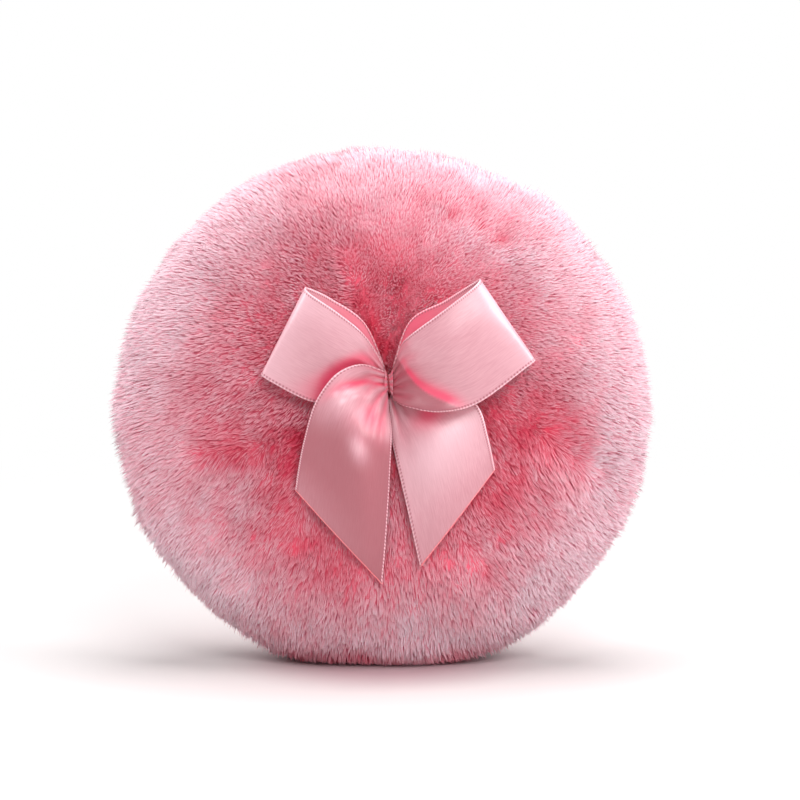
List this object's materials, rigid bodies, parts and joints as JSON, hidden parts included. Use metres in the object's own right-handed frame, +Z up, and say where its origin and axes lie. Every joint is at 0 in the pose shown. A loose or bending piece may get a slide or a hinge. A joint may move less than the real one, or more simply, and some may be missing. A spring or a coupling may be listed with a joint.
{
  "type": "powder puff",
  "caption": "Round plush powder puff, stuffed and sewn round its rim, with a satin ribbon bow stitched to its front face.",
  "frame": {"origin": "middle of the object's box in plan, on the floor that the puff stands on", "axes": "+Z up; +Y away from the bow, towards the plain powder face; +X to the right of somebody who looks at the bow"},
  "size_m": [0.09, 0.0378, 0.0869],
  "materials": {
    "plush_pile": "dense soft pink plush, 9 mm pile",
    "knit_ground": "knitted ground of the plush, deeper pink",
    "stuffing": "white polyester stuffing",
    "satin_ribbon": "pale pink satin with woven selvedges",
    "sewing_thread": "spun polyester thread",
    "bow_thread": "dark pink sewing thread"
  },
  "bodies": {
    "root": {"filling": "stuffing", "front_ground": "knit_ground", "rear_ground": "knit_ground", "front_pile": "plush_pile", "rear_pile": "plush_pile", "seam_thread": "sewing_thread", "closing_stitch": "sewing_thread", "bow_gathers": "satin_ribbon", "bow_left_loop": "satin_ribbon", "bow_right_loop": "satin_ribbon", "bow_left_tail": "satin_ribbon", "bow_right_tail": "satin_ribbon", "bow_binding_thread": "bow_thread", "bow_anchor_thread": "bow_thread"}
  },
  "joints": []
}
